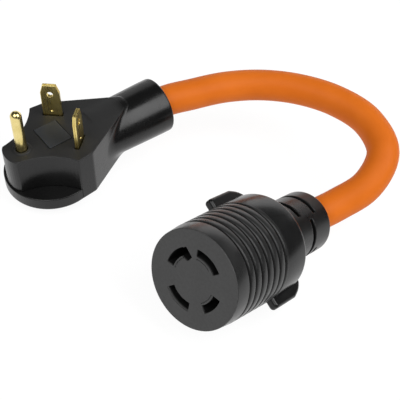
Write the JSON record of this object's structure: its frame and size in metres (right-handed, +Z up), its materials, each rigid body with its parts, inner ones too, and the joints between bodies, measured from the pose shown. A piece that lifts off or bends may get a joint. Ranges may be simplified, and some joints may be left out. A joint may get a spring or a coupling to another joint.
{
  "type": "power adapter dogbone",
  "caption": "Short power cord adapter: a flat pronged travel plug at one end, a round ribbed locking connector at the other, joined by a thick bent cord.",
  "frame": {"origin": "bottom centre of the box around the two rigid ends, on the ground it rests on", "axes": "+Z is up from the ground; +Y runs from the connector's side to the plug's side; +X runs from the prong and socket ends toward the cord's loop"},
  "size_m": [0.1631, 0.134, 0.0512],
  "materials": {
    "black_plastic": "satin black moulding",
    "dark_grey_plastic": "flat dark grey moulding",
    "brass": "bright rolled brass",
    "orange_jacket": "soft matt orange jacket",
    "red_insulation": "red wire insulation",
    "white_insulation": "white wire insulation",
    "green_insulation": "green wire insulation",
    "filler_string": "twisted paper filler"
  },
  "bodies": {
    "root": {"plug_body": "black_plastic", "plug_back_cover": "black_plastic", "plug_face_panel": "dark_grey_plastic", "plug_prong_carrier": "dark_grey_plastic", "hot_blade": "brass", "neutral_blade": "brass", "ground_pin": "brass", "ground_pin_collar": "black_plastic", "plug_hot_crimp": "brass", "plug_neutral_crimp": "brass", "plug_ground_crimp": "brass", "connector_housing": "black_plastic", "connector_face": "dark_grey_plastic", "connector_contact_carrier": "dark_grey_plastic", "contact_line_x": "brass", "contact_line_y": "brass", "contact_neutral": "brass", "contact_ground": "brass", "line_jumper_bar": "brass", "connector_rear_bulkhead": "dark_grey_plastic", "connector_strain_relief": "black_plastic", "cord_jacket": "orange_jacket", "cord_filler_1": "filler_string", "cord_filler_2": "filler_string", "cord_filler_3": "filler_string", "hot_wire": "red_insulation", "neutral_wire": "white_insulation", "ground_wire": "green_insulation"}
  },
  "joints": []
}
